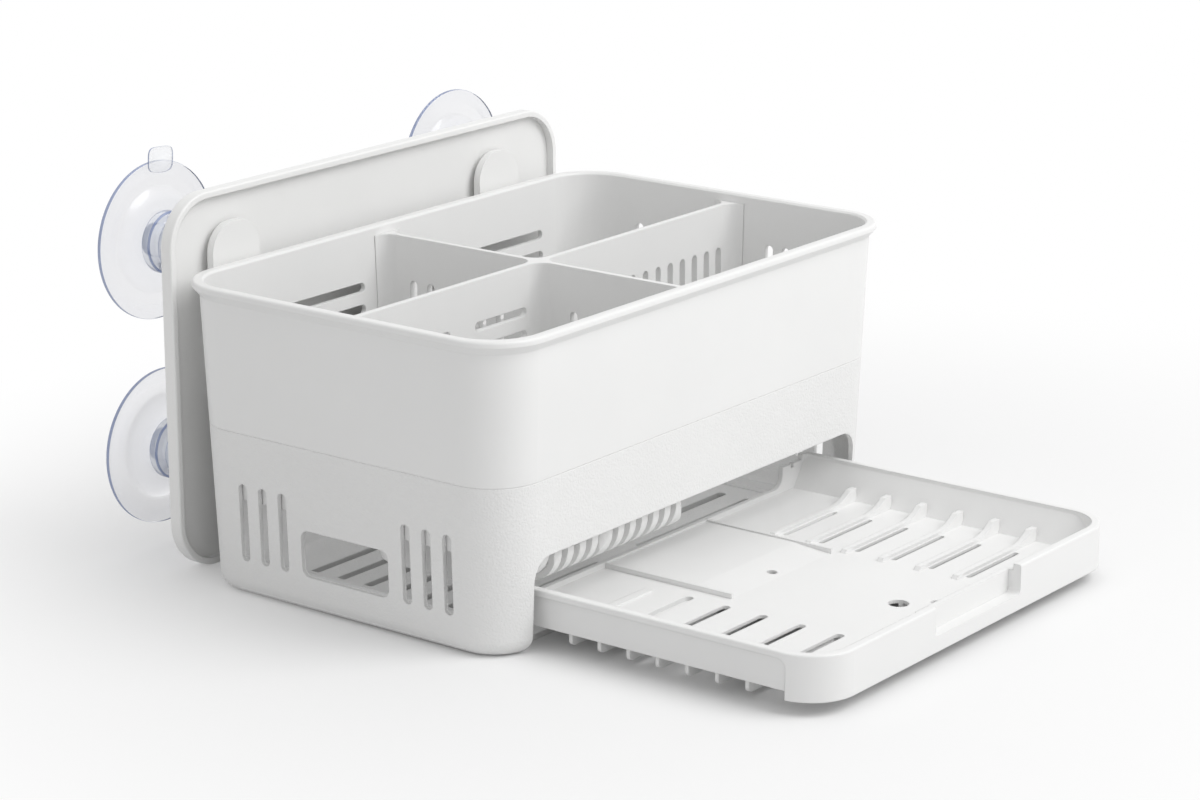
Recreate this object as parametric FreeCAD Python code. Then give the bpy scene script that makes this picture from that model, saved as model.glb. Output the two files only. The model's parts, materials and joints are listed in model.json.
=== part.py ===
"""Kitchen sink caddy: a four-cell bin on a slotted base with a pull-out drip tray.

The bin hangs by two loops on the upturned tongues of a wall plate that carries four suction cups.
Millimetres. X runs along the bin, -Y is the front where the tray comes out, +Z is up.
The origin is the middle of the base's underside, on the surface that the caddy stands on.
"""
import FreeCAD
import Part
import math
import os

# Outer form of the bin and base
rim_length = 250.0
rim_depth = 160.0
rim_corner = 23.0
body_height = 119.0
lip_overhang = 2.5
lip_height = 5.4
lip_band = 2.4
lip_round = 1.1
rim_bevel = 0.8
wall_taper = 4.4
base_corner = 18.0
base_edge_round = 6.0
wall = 2.0
seam_height = 64.3
seam_chamfer = 0.2

# Inside of the bin
liner_wall = 2.0
lap_clearance = 0.4
shoulder_thickness = 2.4
cell_floor = 40.0
floor_thickness = 2.4
pocket_floor = 23.0
pocket_ledge_floor = 25.8
pocket_left_margin = 8.0
pocket_ledge_width = 20.0
pocket_divider_gap = 4.0
pocket_corner = 6.0
pocket_front_round = 12.0
pocket_back_round = 9.0
pocket_front_inset = 0.6

# Drain comb in the pocket's front edge
comb_slot_width = 3.4
comb_pitch = 7.2
comb_left_count = 6
comb_right_count = 6
comb_bridge = 8.6
comb_flute_width = 4.5
comb_flute_round = 5.4
comb_top = 37.5
comb_reach = 30.0
comb_end_margin = 9.0

# Drain slots in the floors of the other three cells
cell_drain_width = 4.0
cell_drain_pitch = 11.0
cell_drain_count = 5
cell_drain_margin = 22.0

# Slots of the bin's upper walls
slot_width = 3.8
side_slot_drop = 19.0
back_slot_pitch = 8.8
back_slot_drop = 21.0
back_slot_rows = 2
back_slot_start = 20.2
back_slot_length = 72.0
side_slot_bottom = 72.0
side_slot_pitch = 8.2
side_slot_count = 4
side_slot_front_first = 21.4
side_slot_back_first = 44.3

# Loops behind the rim
loop_spacing = 158.0
loop_offset = -4.0
loop_side = 2.4
loop_height = 5.8
loop_drop = 4.0
loop_clearance = 0.3
loop_side_clearance = 1.4
loop_round = 2.5
loop_bar = 1.8

# Base shell
base_floor = 2.6
opening_left_clearance = 4.0
opening_right_clearance = 2.0
opening_height = 35.0
opening_corner = 9.0
opening_foot_round = 6.0
opening_reach = 8.0
window_length = 42.0
window_bottom = 14.3
window_top = 32.4
window_corner = 3.5
vent_width = 4.0
vent_bottom = 14.2
vent_top = 44.6
vent_first = 29.7
vent_pitch = 9.75
vent_count = 3
drain_slot_width = 4.2
drain_slot_pitch = 13.3
drain_slot_last = 44.0
drain_slot_count = 7
drain_spine = 24.0
drain_margin = 4.6
rail_height = 0.4
rail_width = 3.0
guide_height = 3.4
guide_width = 2.0
rail_end_margin = 5.0
guide_front_margin = 18.0
rail_front_margin = 2.0

# Cross divider
divider_thickness = 2.5
divider_shift_x = -6.0
divider_shift_y = -1.2
divider_drop = 3.6
divider_clearance = 0.1
divider_seat_gap = 0.2
divider_flare = 6.0
divider_flange = 0.2
divider_slot_width = 3.6
divider_slot_bottom = 54.0
divider_slot_drop = 21.0
long_slot_pitch = 8.3
long_slot_count = 13
long_slot_wall_margin = 9.6
short_slot_pitch = 8.7
short_slot_back_count = 6
short_slot_back_margin = 14.9
short_slot_front_count = 6
short_slot_front_first = 18.1
row_slot_length = 30.7
row_slot_start = 9.1
row_slot_rise = 1.1
row_slot_gap = 14.6
row_slot_pitch = 9.0
row_slot_rows = 4
row_slot_columns = 2

# Drip tray
tray_left_margin = 22.3
tray_right_margin = 16.3
tray_depth = 142.2
tray_engagement = 21.1
tray_bottom = 8.4
tray_top = 22.6
tray_wall = 2.0
tray_lean = 7.8
tray_lean_drop = 1.4
tray_floor_thickness = 1.4
tray_front_corner = 17.0
tray_rear_corner = 4.0
tray_lip_top = 12.0
tray_post_width = 17.8
tray_post_drop = 2.4
tray_stub_width = 4.4
tray_swoop = 5.0
tray_notch_width = 1.8
tray_notch_depth = 1.6
tray_notch_margin = 11.0
fascia_proud = 1.2
fascia_bottom = 5.5
fascia_wrap = 15.0
tray_band_height = 2.4
tray_band_corner = 3.5
tray_band_round = 0.7
grip_length = 58.0
grip_offset = 2.5
grip_bottom = 11.5
grip_depth = 5.2
grip_drop = 2.5
grip_wall = 2.2
grip_corner = 2.0
tray_row_pitch = 16.5
tray_row_first = 30.4
tray_row_count = 6
tray_slot_width = 3.6
tray_slot_start = 40.0
tray_slot_margin = 9.0
tray_slot_overrun = 0.3
tray_rib_width = 2.4
tray_rib_height = 1.4
tray_rib_start = 35.0
tray_rib_swoop = 5.4
tray_rib_swoop_run = 11.0
tray_rib_tip = 4.5
tray_rib_bite = 1.0
tray_rib_bend_share = 0.17
tray_slit_width = 2.2
tray_slit_start = 40.0
tray_slit_length = 36.0
plain_rib_width = 3.6
plain_rib_height = 0.7
plain_rib_start = 44.0
under_rib_rear = 7.3
under_rib_first = 32.9
under_rib_pitch = 12.8
under_rib_count = 7
under_rib_thickness = 1.6
under_rib_bottom = 3.4
under_rib_margin = 1.8
under_rib_round = 2.0
plateau_half_width = 32.0
plateau_height = 1.3
plateau_ridge_width = 1.2
plateau_ridge_height = 0.6
plateau_length = 43.0
plateau_fade = 17.0
drain_hole = 7.8
pin_hole = 4.0
back_hole_place = 55.0
drain_hole_place = 31.2
front_hole_place = 20.9
pin_hole_offset = 9.5

# Wall plate
plate_length = 232.0
plate_height = 146.2
plate_corner = 20.0
plate_gap = 5.6
plate_recess = 3.2
panel_thickness = 2.3
plate_border = 2.5
plate_edge_round = 0.7
tongue_width = 26.0
tongue_thickness = 3.0
tongue_rise = 18.4
tongue_corner = 11.5
tongue_foot = 4.0
tongue_foot_gap = 0.3

# Suction cups and their sockets
cup_radius = 30.8
cup_spacing = 177.0
cup_upper_height = 121.5
cup_lower_height = 39.5
cup_standoff = 29.9
cup_rim_thickness = 1.4
cup_dish_depth = 5.0
cup_web = 2.2
cup_hub_radius = 12.2
cup_hub_thickness = 3.6
cup_collar_radius = 11.0
cup_collar_thickness = 3.4
cup_waist_radius = 8.5
cup_waist = 3.2
cup_edge_round = 1.2
cup_nub_radius = 6.0
cup_nub_height = 3.0
cup_bulge_share = 0.35
tab_width = 13.0
tab_reach = 5.5
tab_root = 4.5
tab_thickness = 1.4
tab_corner = 4.5
tab_lean = 1.6
stem_radius = 7.0
stem_head_radius = 8.2
stem_head_length = 2.0
stem_clearance = 0.05
socket_clearance = 0.3
socket_radius = 11.0
socket_height = 6.5
socket_floor = 1.3
upper_left_tab_angle = 86.0
upper_right_tab_angle = -75.0
lower_left_tab_angle = -10.0
lower_right_tab_angle = 195.0

# One overrun serves every cut, and one gap picks the edges that lie in a plane
overrun = 2.0
pick_gap = 0.000001

# Where an arc's middle lies, as shares of its radius from its centre and from its corner
diagonal_share = math.sqrt(0.5)
corner_share = 1 - diagonal_share

# Sizes that follow from the ones above
half_length = rim_length / 2
half_depth = rim_depth / 2
rim_wall_corner = rim_corner - lip_overhang
base_half_length = half_length - lip_overhang - wall_taper
base_half_depth = half_depth - lip_overhang - wall_taper
tray_left = tray_left_margin - base_half_length
tray_right = base_half_length - tray_right_margin
tray_middle = (tray_left + tray_right) / 2
tray_half_width = (tray_right - tray_left) / 2
tray_rear = base_half_depth - tray_engagement
tray_front = tray_rear + tray_depth
tray_floor = tray_bottom + tray_floor_thickness
plate_front = half_depth + plate_gap
panel_front = plate_front + plate_recess
plate_back = panel_front + panel_thickness
side_slot_top = body_height - side_slot_drop
back_slot_top = body_height - back_slot_drop
divider_slot_top = body_height - divider_slot_drop
loop_top = body_height - loop_drop
loop_bottom = loop_top - loop_height
tongue_back = panel_front - loop_bar - 2 * loop_clearance
tongue_front = tongue_back - tongue_thickness
divider_top = body_height - divider_drop
divider_bottom = cell_floor + divider_seat_gap


def vec(x, y, z):
    """A point or direction."""
    return FreeCAD.Vector(x, y, z)


X_AXIS = vec(1, 0, 0)
Y_AXIS = vec(0, 1, 0)
Z_AXIS = vec(0, 0, 1)


def box(x_low, x_high, y_low, y_high, z_low, z_high):
    """A block between two corners."""
    return Part.makeBox(x_high - x_low, y_high - y_low, z_high - z_low, vec(x_low, y_low, z_low))


def arc(start, middle, end):
    """An edge through three points on a circle."""
    return Part.Arc(start, middle, end).toShape()


def line(start, end):
    """A straight edge."""
    return Part.LineSegment(start, end).toShape()


def rounded_outline(place, across, up, half_across, half_up, radii):
    """A closed rounded rectangle; radii run from the low-low corner, anticlockwise."""
    signs = [(-1, -1), (1, -1), (1, 1), (-1, 1)]
    corners = []
    for (sign_a, sign_u), radius in zip(signs, radii):
        centre = place + across * (sign_a * (half_across - radius)) + up * (sign_u * (half_up - radius))
        side = centre + across * (sign_a * radius)
        cap = centre + up * (sign_u * radius)
        middle = centre + (across * sign_a + up * sign_u) * (radius * diagonal_share)
        first, last = (side, cap) if sign_a * sign_u > 0 else (cap, side)
        corners.append((first, middle, last))
    edges = []
    for index, (first, middle, last) in enumerate(corners):
        edges.append(arc(first, middle, last))
        following = corners[(index + 1) % len(corners)][0]
        if (following - last).Length > pick_gap:
            edges.append(line(last, following))
    return Part.Wire(edges)


def rounded_prism(place, across, up, half_across, half_up, radii, sweep):
    """A rounded rectangle swept along a vector."""
    return Part.Face(rounded_outline(place, across, up, half_across, half_up, radii)).extrude(sweep)


def slot(middle, along, across, length, width, sweep):
    """A round-ended slot, cut half a sweep to each side of its middle."""
    radius = width / 2
    reach = along * (length / 2 - radius)
    side = across * radius
    tip = along * (length / 2)
    low = middle - sweep / 2
    edges = [line(low - reach - side, low + reach - side),
             arc(low + reach - side, low + tip, low + reach + side),
             line(low + reach + side, low - reach + side),
             arc(low - reach + side, low - tip, low - reach - side)]
    return Part.Face(Part.Wire(edges)).extrude(sweep)


def drum(place, axis, radius, height):
    """A round post or hole."""
    return Part.makeCylinder(radius, height, place, axis)


def taper_at(z):
    """How far the wall has drawn in at a height."""
    return wall_taper * (body_height - z) / body_height


def wall_half_length(z, inset):
    """Half length of the body's wall at a height, drawn in by an inset."""
    return half_length - lip_overhang - taper_at(z) - inset


def wall_half_depth(z, inset):
    """Half depth of the body's wall at a height, drawn in by an inset."""
    return half_depth - lip_overhang - taper_at(z) - inset


def section(z, inset):
    """Outline of the body's wall at a height, drawn in by an inset."""
    radius = base_corner + (rim_wall_corner - base_corner) * z / body_height - inset
    return rounded_outline(vec(0, 0, z), X_AXIS, Y_AXIS, wall_half_length(z, inset),
                           wall_half_depth(z, inset), [radius] * 4)


def tapered(z_low, z_high, inset):
    """The body's wall form between two heights."""
    return Part.makeLoft([section(z_low, inset), section(z_high, inset)], True, True)


def bevelled(z_low, z_high, low_bevel, high_bevel):
    """The body's outer form between two heights, with its ends drawn in by a bevel."""
    outlines = [section(z_low + low_bevel, 0), section(z_high - high_bevel, 0)]
    if low_bevel:
        outlines.insert(0, section(z_low, low_bevel))
    if high_bevel:
        outlines.append(section(z_high, high_bevel))
    return Part.makeLoft(outlines, True, True)


def edges_at(shape, z):
    """Edges of a shape that lie flat at a height."""
    found = []
    for edge in shape.Edges:
        bounds = edge.BoundBox
        if abs(bounds.ZMin - z) < pick_gap and abs(bounds.ZMax - z) < pick_gap:
            found.append(edge)
    return found


def storage_bin():
    """The smooth upper moulding with its cells' floors, pocket, slots and rear loops."""
    liner_inset = wall + lap_clearance
    cavity_inset = liner_inset + liner_wall
    upper = bevelled(seam_height, body_height, seam_chamfer, 0)
    liner = tapered(cell_floor - floor_thickness, seam_height, liner_inset)
    solid = upper.fuse(rim_lip() + [liner, deep_pocket(0), pocket_ledge(0)] + rear_loops())
    shoulder = seam_height + shoulder_thickness
    cavity = [tapered(shoulder, body_height + overrun, wall), rim_opening(),
              tapered(cell_floor, shoulder + overrun, cavity_inset),
              deep_pocket(floor_thickness), pocket_ledge(floor_thickness)]
    solid = solid.cut(cavity)
    solid = solid.cut(loop_holes())
    return solid.cut(comb_slots() + cell_drains() + wall_slots()).removeSplitter()


def rim_lip():
    """The rolled lip round the rim: a rounded band and the slope that carries it out from the wall."""
    low = body_height - lip_band
    outline = rounded_outline(vec(0, 0, low), X_AXIS, Y_AXIS, half_length, half_depth, [rim_corner] * 4)
    band = Part.Face(outline).extrude(Z_AXIS * lip_band)
    band = band.makeFillet(lip_round, edges_at(band, body_height))
    slope = Part.makeLoft([section(body_height - lip_height, 0), outline], True, True)
    return [band, slope]


def rim_opening():
    """The bevel round the rim's inner edge."""
    outlines = [section(body_height - rim_bevel, wall), section(body_height, wall - rim_bevel),
                section(body_height + overrun, wall - rim_bevel)]
    return Part.makeLoft(outlines, True, True)


def pocket_limits():
    """Outer limits of the front-left pocket: left, right, front and back."""
    inset = wall + lap_clearance + pocket_front_inset
    underside = pocket_floor - floor_thickness
    left = -wall_half_length(underside, inset) + pocket_left_margin
    front = -wall_half_depth(underside, inset)
    return left, -pocket_divider_gap, front, -pocket_divider_gap


def deep_pocket(inset):
    """The deep part of the pocket, which hangs between the tray's side walls."""
    left, right, front, back = pocket_limits()
    return pocket(left + pocket_ledge_width, right, front, back, pocket_floor - floor_thickness, inset)


def pocket_ledge(inset):
    """The shallower left end of the pocket, which stands over the tray's side wall."""
    left, right, front, back = pocket_limits()
    inner = left + pocket_ledge_width + pocket_corner * 2
    return pocket(left, inner, front, back, pocket_ledge_floor - floor_thickness, inset)


def pocket(left, right, front, back, underside, inset):
    """A round-bottomed pocket's outer form, or its inside when drawn in by the wall."""
    top = cell_floor + (overrun if inset else 0)
    half_x = (right - left) / 2 - inset
    half_y = (back - front) / 2 - inset
    half_z = (top - underside - inset) / 2
    middle = vec((left + right) / 2, (front + back) / 2, underside + inset + half_z)
    plan = rounded_prism(middle - Z_AXIS * half_z, X_AXIS, Y_AXIS, half_x, half_y,
                         [pocket_corner - inset] * 4, Z_AXIS * (2 * half_z))
    front_round = min(pocket_front_round, cell_floor - underside - floor_thickness) - inset
    back_round = pocket_back_round - inset
    start = middle - X_AXIS * half_x
    low_front = start - Y_AXIS * half_y - Z_AXIS * half_z
    low_back = start + Y_AXIS * half_y - Z_AXIS * half_z
    high_front = start - Y_AXIS * half_y + Z_AXIS * half_z
    high_back = start + Y_AXIS * half_y + Z_AXIS * half_z
    front_lean = front_round * corner_share
    back_lean = back_round * corner_share
    front_edge = [low_front + Z_AXIS * front_round, low_front + (Y_AXIS + Z_AXIS) * front_lean,
                  low_front + Y_AXIS * front_round]
    back_edge = [low_back - Y_AXIS * back_round, low_back + (Z_AXIS - Y_AXIS) * back_lean,
                 low_back + Z_AXIS * back_round]
    edges = [arc(*front_edge), line(front_edge[2], back_edge[0]), arc(*back_edge)]
    edges += [line(back_edge[2], high_back), line(high_back, high_front), line(high_front, front_edge[0])]
    side = Part.Face(Part.Wire(edges)).extrude(X_AXIS * (2 * half_x))
    return plan.common(side)


def comb_slots():
    """Slots that wrap from the pocket's front wall under its floor."""
    left, right, front, back = pocket_limits()
    underside = pocket_floor - floor_thickness
    cuts = []
    start = right - comb_end_margin
    places = [start - comb_pitch * index for index in range(comb_right_count)]
    start = places[-1] - comb_bridge
    places += [start - comb_pitch * index for index in range(comb_left_count)]
    for place in places:
        cuts.append(box(place - comb_slot_width / 2, place + comb_slot_width / 2, front - overrun,
                        front + comb_reach, underside - overrun, comb_top))
    return cuts + [comb_flute(places[comb_right_count], front, underside)]


def comb_flute(place, front, underside):
    """The rounded side of the slot between the comb's two groups."""
    low = underside - overrun
    edge = place + comb_slot_width / 2 + comb_flute_width
    room = box(place, edge, front - overrun, front + comb_flute_round, low, comb_top)
    foot = vec(edge, front + comb_flute_round, low)
    return room.cut(Part.makeCylinder(comb_flute_round, comb_top - low, foot, Z_AXIS))


def cell_drains():
    """Drain slots in the floors of the two back cells and the front-right cell."""
    cuts = []
    outer = wall_half_length(cell_floor, wall + lap_clearance + liner_wall)
    middle_y = wall_half_depth(cell_floor, wall + lap_clearance + liner_wall) / 2
    through = Z_AXIS * (floor_thickness + overrun * 2)
    length = outer - cell_drain_margin * 2
    for side_x, side_y in ((-1, 1), (1, 1), (1, -1)):
        for index in range(cell_drain_count):
            y = side_y * middle_y + (index - (cell_drain_count - 1) / 2) * cell_drain_pitch
            middle = vec(side_x * outer / 2, y, cell_floor - floor_thickness / 2)
            cuts.append(slot(middle, X_AXIS, Y_AXIS, length, cell_drain_width, through))
    return cuts


def wall_slots():
    """Long slots in the back wall and upright slots in the right wall."""
    cuts = []
    through = overrun * 2 + wall * 2
    for row in range(back_slot_rows):
        z = back_slot_top - slot_width / 2 - back_slot_pitch * row
        for side in (-1, 1):
            x = side * (back_slot_start + back_slot_length / 2)
            middle = vec(x, wall_half_depth(z, wall / 2), z)
            cuts.append(slot(middle, X_AXIS, Z_AXIS, back_slot_length, slot_width, Y_AXIS * through))
    height = side_slot_top - side_slot_bottom
    z = side_slot_bottom + height / 2
    for index in range(side_slot_count):
        step = side_slot_pitch * index
        for y in (-side_slot_front_first - step, side_slot_back_first - step):
            middle = vec(wall_half_length(z, wall / 2), y, z)
            cuts.append(slot(middle, Z_AXIS, Y_AXIS, height, slot_width, X_AXIS * through))
    return cuts


def loop_half_width():
    """Half the width of a loop's opening."""
    return tongue_width / 2 + loop_side_clearance


def loop_places():
    """Where the two loops and their tongues lie along the bin."""
    return [loop_offset - loop_spacing / 2, loop_offset + loop_spacing / 2]


def rear_loops():
    """Two flat loops behind the rim that drop over the plate's tongues."""
    loops = []
    back = panel_front - loop_clearance
    front = wall_half_depth(loop_bottom, wall / 2)
    half_x = loop_half_width() + loop_side
    for x in loop_places():
        place = vec(x, (front + back) / 2, loop_bottom)
        radii = [wall / 4, wall / 4, loop_round, loop_round]
        loops.append(rounded_prism(place, X_AXIS, Y_AXIS, half_x, (back - front) / 2, radii,
                                   Z_AXIS * loop_height))
    return loops


def loop_holes():
    """The openings that the plate's tongues pass through."""
    holes = []
    half_x = loop_half_width()
    for x in loop_places():
        holes.append(box(x - half_x, x + half_x, tongue_front - loop_clearance, tongue_back + loop_clearance,
                         loop_bottom - overrun, loop_top + overrun))
    return holes


def base_shell():
    """The textured lower moulding that houses the tray."""
    outer = bevelled(0, seam_height, 0, seam_chamfer)
    outer = outer.makeFillet(base_edge_round, edges_at(outer, 0))
    cavity = tapered(base_floor, seam_height + overrun, wall)
    cavity = cavity.makeFillet(base_edge_round - wall, edges_at(cavity, base_floor))
    solid = outer.cut([cavity, opening()])
    solid = solid.cut(side_openings() + drain_slots())
    return solid.fuse(tray_rails()).removeSplitter()


def floor_front():
    """Where the base's floor begins behind the opening."""
    return opening_reach - base_half_depth


def opening():
    """The tray's opening, with rounded upper corners and flared feet."""
    left = tray_left - fascia_proud - opening_left_clearance
    right = tray_right + fascia_proud + opening_right_clearance
    flare = opening_foot_round
    corner = opening_corner
    flare_lean = flare * corner_share
    lean = corner * corner_share
    front = -half_depth - overrun
    top = opening_height

    def at(x, z):
        return vec(x, front, z)

    edges = [line(at(left - flare, -overrun), at(right + flare, -overrun)),
             line(at(right + flare, -overrun), at(right + flare, 0)),
             arc(at(right + flare, 0), at(right + flare_lean, flare_lean), at(right, flare)),
             line(at(right, flare), at(right, top - corner)),
             arc(at(right, top - corner), at(right - lean, top - lean), at(right - corner, top)),
             line(at(right - corner, top), at(left + corner, top)),
             arc(at(left + corner, top), at(left + lean, top - lean), at(left, top - corner)),
             line(at(left, top - corner), at(left, flare)),
             arc(at(left, flare), at(left - flare_lean, flare_lean), at(left - flare, 0)),
             line(at(left - flare, 0), at(left - flare, -overrun))]
    return Part.Face(Part.Wire(edges)).extrude(Y_AXIS * (floor_front() - front))


def side_openings():
    """A window and two groups of vents through each end wall."""
    cuts = []
    middle_z = (window_bottom + window_top) / 2
    through = overrun * 2 + wall * 2
    vent_z = (vent_bottom + vent_top) / 2
    for side in (-1, 1):
        x = side * wall_half_length(middle_z, wall / 2)
        start = vec(x - through / 2, 0, middle_z)
        cuts.append(rounded_prism(start, Y_AXIS, Z_AXIS, window_length / 2, (window_top - window_bottom) / 2,
                                  [window_corner] * 4, X_AXIS * through))
        for index in range(vent_count):
            for end in (-1, 1):
                y = end * (vent_first + vent_pitch * index)
                place = vec(side * wall_half_length(vent_z, wall / 2), y, vent_z)
                cuts.append(slot(place, Z_AXIS, Y_AXIS, vent_top - vent_bottom, vent_width, X_AXIS * through))
    return cuts


def rail_inner():
    """Inner side of the rails under the tray's edges."""
    return guide_inner() - rail_width - loop_clearance


def guide_inner():
    """Inner side of the guides beside the ends of the tray's ribs."""
    return tray_half_width - under_rib_margin + lap_clearance


def drain_slots():
    """Slots along the base's floor, on each side of a plain spine."""
    cuts = []
    outer = rail_inner() - tray_middle - drain_margin + rail_width / 2
    inner = drain_spine / 2
    for index in range(drain_slot_count):
        y = drain_slot_last - drain_slot_pitch * index
        for side in (-1, 1):
            middle = vec(side * (inner + outer) / 2, y, base_floor / 2)
            cuts.append(slot(middle, X_AXIS, Y_AXIS, outer - inner, drain_slot_width,
                             Z_AXIS * (base_floor + overrun * 2)))
    return cuts


def tray_rails():
    """Runners that carry the tray's ribs and guides beside their ends."""
    rails = []
    front = floor_front()
    back = wall_half_depth(base_floor, wall) - rail_end_margin
    low = base_floor / 2
    for side in (-1, 1):
        reach = [rail_inner(), rail_inner() + rail_width]
        edges = sorted(tray_middle + side * distance for distance in reach)
        rails.append(box(edges[0], edges[1], front + rail_front_margin, back, low, base_floor + rail_height))
        reach = [guide_inner(), guide_inner() + guide_width]
        edges = sorted(tray_middle + side * distance for distance in reach)
        rails.append(box(edges[0], edges[1], front + guide_front_margin - opening_reach, back, low,
                         base_floor + guide_height))
    return rails


def cross_divider():
    """The lift-out cross with flared ends that stand against the bin's walls."""
    upper_inset = wall + divider_clearance
    lower_inset = wall + lap_clearance + liner_wall + divider_clearance
    shoulder = seam_height + shoulder_thickness + divider_clearance
    room = tapered(shoulder, divider_top, upper_inset).fuse(tapered(divider_bottom, shoulder, lower_inset))
    stretches = [(divider_bottom - overrun, shoulder, lower_inset),
                 (shoulder, divider_top + overrun, upper_inset)]
    flare_end = divider_thickness / 2 + divider_flare
    cuts = []
    for side_x in (-1, 1):
        for side_y in (-1, 1):
            for low, high, inset in stretches:
                outlines = [cell_outline(z, inset, side_x, side_y) for z in (low, high)]
                cuts.append(Part.makeLoft(outlines, True, True))
            span_x = sorted([divider_shift_x + side_x * flare_end, side_x * rim_length])
            span_y = sorted([divider_shift_y + side_y * flare_end, side_y * rim_depth])
            cuts.append(box(span_x[0], span_x[1], span_y[0], span_y[1], divider_bottom - overrun,
                            divider_top + overrun))
    far_x = wall_half_length(divider_top, upper_inset)
    far_y = wall_half_depth(divider_top, upper_inset)
    return room.cut(cuts).cut(divider_slots(far_x, far_y)).removeSplitter()


def cell_outline(z, inset, side_x, side_y):
    """The free space of one cell at a height, rounded where the divider's arms flare."""
    near = divider_thickness / 2
    inner_x = divider_shift_x + side_x * near
    inner_y = divider_shift_y + side_y * near
    outer_x = side_x * (wall_half_length(z, inset) - divider_flange)
    outer_y = side_y * (wall_half_depth(z, inset) - divider_flange)
    place = vec((inner_x + outer_x) / 2, (inner_y + outer_y) / 2, z)
    return rounded_outline(place, X_AXIS, Y_AXIS, abs(outer_x - inner_x) / 2, abs(outer_y - inner_y) / 2,
                           [divider_flare] * 4)


def divider_slots(far_x, far_y):
    """Upright slots in three arms of the cross and rows of long slots in the fourth."""
    cuts = []
    through = divider_thickness + overrun
    height = divider_slot_top - divider_slot_bottom
    z = divider_slot_bottom + height / 2
    width = divider_slot_width
    centre_x = divider_shift_x
    centre_y = divider_shift_y
    for index in range(long_slot_count):
        x = far_x - long_slot_wall_margin - long_slot_pitch * index
        cuts.append(slot(vec(x, centre_y, z), Z_AXIS, X_AXIS, height, width, Y_AXIS * through))
    for index in range(short_slot_back_count):
        y = far_y - short_slot_back_margin - short_slot_pitch * index
        cuts.append(slot(vec(centre_x, y, z), Z_AXIS, Y_AXIS, height, width, X_AXIS * through))
    for index in range(short_slot_front_count):
        y = centre_y - short_slot_front_first - short_slot_pitch * index
        cuts.append(slot(vec(centre_x, y, z), Z_AXIS, Y_AXIS, height, width, X_AXIS * through))
    for row in range(row_slot_rows):
        row_z = divider_slot_top + row_slot_rise - width / 2 - row_slot_pitch * row
        for index in range(row_slot_columns):
            start = row_slot_start + (row_slot_length + row_slot_gap) * index
            middle = vec(centre_x - start - row_slot_length / 2, centre_y, row_z)
            cuts.append(slot(middle, X_AXIS, Z_AXIS, row_slot_length, width, Y_AXIS * through))
    return cuts


def tray_outline(inset, z):
    """Plan outline of the tray, drawn in by an inset."""
    half_y = (tray_front - tray_rear) / 2 - inset
    place = vec(tray_middle, -(tray_front + tray_rear) / 2, z)
    front = tray_front_corner - inset
    rear = max(tray_rear_corner - inset, tray_wall / 2)
    return rounded_outline(place, X_AXIS, Y_AXIS, tray_half_width - inset, half_y, [front, front, rear, rear])


def tray_block(inset, z_low, z_high):
    """The tray's plan outline raised between two heights."""
    return Part.Face(tray_outline(inset, z_low)).extrude(Z_AXIS * (z_high - z_low))


def drip_tray():
    """The pull-out tray."""
    solid = tray_block(0, tray_bottom, tray_top).fuse(fascia())
    solid = solid.cut([tray_block(tray_wall, tray_floor, tray_top + overrun),
                       tray_block(tray_wall, fascia_bottom - overrun, tray_bottom)])
    solid = solid.fuse([plateau(), leaning_wall(), grip_block(), plain_rib()] + plateau_ridges())
    solid = solid.fuse(far_ribs() + under_ribs())
    return solid.cut([rear_dip(), post_top(), post_nick(), grip_recess()] + tray_cuts()).removeSplitter()


def fascia():
    """The proud band along the tray's top, which deepens round the front and its corners."""
    band = tray_block(-fascia_proud, fascia_bottom, tray_top)
    band = band.makeFillet(tray_band_round, edges_at(band, tray_top))
    spare = tray_band_corner + overrun
    front = fascia_wrap - tray_front
    back = fascia_proud - tray_rear + spare
    low = fascia_bottom - spare
    high = tray_top - tray_band_height
    half = tray_half_width + fascia_proud + overrun
    place = vec(tray_middle - half, (front + back) / 2, (low + high) / 2)
    recess = rounded_prism(place, Y_AXIS, Z_AXIS, (back - front) / 2, (high - low) / 2,
                           [tray_band_corner] * 4, X_AXIS * (2 * half))
    behind = box(tray_middle - half, tray_middle + half, -tray_rear, back, low, tray_top + overrun)
    return band.cut([recess, behind])


def leaning_wall():
    """The slope inside the right wall, from the floor out to the band."""
    low = tray_floor - tray_floor_thickness / 2
    inner = tray_right - tray_wall
    outer = inner + tray_wall / 2
    high = tray_top - tray_lean_drop

    def at(x, z):
        return vec(x, -tray_front, z)

    corners = [at(inner - tray_lean, low), at(outer, low), at(outer, high), at(inner, high),
               at(inner - tray_lean, tray_floor)]
    slope = Part.Face(Part.makePolygon(corners + corners[:1])).extrude(Y_AXIS * tray_depth)
    return slope.common(tray_block(tray_wall / 2, low, tray_top))


def plateau():
    """The raised middle of the floor, which fades into it towards the front."""
    low = tray_floor - tray_floor_thickness / 2
    high = tray_floor + plateau_height

    def at(y, z):
        return vec(-plateau_half_width, -y, z)

    rear = tray_rear + tray_wall / 2
    crest = tray_rear + plateau_length
    end = crest + plateau_fade
    corners = [at(rear, low), at(rear, high), at(crest, high), at(end, tray_floor), at(end, low)]
    return Part.Face(Part.makePolygon(corners + corners[:1])).extrude(X_AXIS * (2 * plateau_half_width))


def plateau_ridges():
    """The thin ridges along the two edges of the raised middle."""
    low = tray_floor - tray_floor_thickness / 2
    high = tray_floor + plateau_height + plateau_ridge_height
    front = -tray_rear - plateau_length - plateau_fade
    ridges = []
    for side in (-1, 1):
        edges = sorted([side * plateau_half_width, side * (plateau_half_width + plateau_ridge_width)])
        ridges.append(box(edges[0], edges[1], front, -tray_rear - tray_wall / 2, low, high))
    return ridges


def row_places():
    """Where the rows of slots and ribs lie along the tray."""
    first = tray_rear + tray_row_first
    return [-first - tray_row_pitch * index for index in range(tray_row_count)]


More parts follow.
